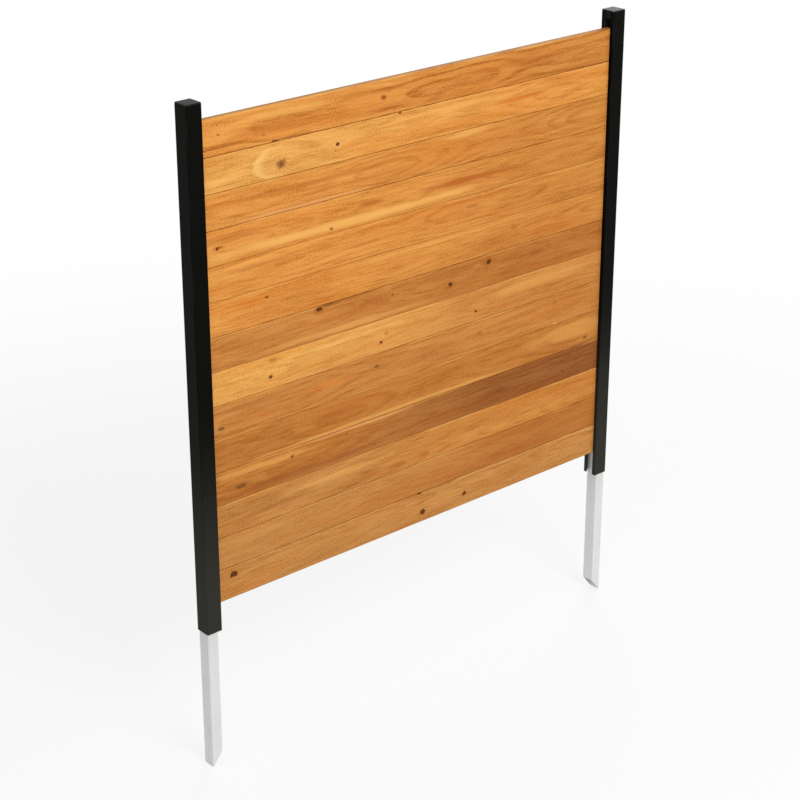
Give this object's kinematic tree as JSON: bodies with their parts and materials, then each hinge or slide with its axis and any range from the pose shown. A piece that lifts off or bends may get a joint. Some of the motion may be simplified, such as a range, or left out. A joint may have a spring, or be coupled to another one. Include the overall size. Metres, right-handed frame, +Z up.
{
  "type": "garden privacy screen",
  "caption": "Free-standing garden privacy screen: horizontal tongue-and-groove boards between two slotted steel posts, each with a cap and a ground stake that telescopes out of its foot.",
  "frame": {"origin": "on the ground line, at the level of the posts' feet, halfway between the posts and halfway through their depth", "axes": "+X runs along the screen to the right as seen from the front, +Y from the front to the back, +Z up"},
  "size_m": [1.2192, 0.0441, 1.5044],
  "materials": {
    "black_coated_steel": "satin black powder coat",
    "black_plastic": "fine-grained matt moulding",
    "galvanised_steel": "pale matt zinc",
    "black_screw_steel": "black zinc",
    "honey_wood": "honey stain, planed",
    "amber_wood": "amber stain, planed",
    "brown_wood": "brown heartwood, stained and planed"
  },
  "bodies": {
    "panel": {"left_post": "black_coated_steel", "right_post": "black_coated_steel", "board_01": "honey_wood", "board_02": "honey_wood", "board_03": "honey_wood", "board_04": "brown_wood", "board_05": "honey_wood", "board_06": "honey_wood", "board_07": "amber_wood", "board_08": "amber_wood", "board_09": "honey_wood", "board_10": "honey_wood", "board_11": "honey_wood", "board_12": "honey_wood", "board_13": "honey_wood", "board_14": "honey_wood", "left_board_screws": "black_screw_steel", "right_board_screws": "black_screw_steel", "left_lock_screws": "black_screw_steel", "right_lock_screws": "black_screw_steel"},
    "left_stake": {"left_stake": "galvanised_steel"},
    "right_stake": {"right_stake": "galvanised_steel"},
    "left_cap": {"left_cap": "black_plastic"},
    "right_cap": {"right_cap": "black_plastic"}
  },
  "joints": [
    {"name": "left_stake_slide", "type": "slide", "parent": "panel", "child": "left_stake", "axis": [0, 0, 1], "range_m": [0, 0.336]},
    {"name": "right_stake_slide", "type": "slide", "parent": "panel", "child": "right_stake", "axis": [0, 0, 1], "range_m": [0, 0.336]},
    {"name": "left_cap_lift", "type": "slide", "parent": "panel", "child": "left_cap", "axis": [0, 0, 1], "range_m": [0, 0.03]},
    {"name": "right_cap_lift", "type": "slide", "parent": "panel", "child": "right_cap", "axis": [0, 0, 1], "range_m": [0, 0.03]}
  ]
}
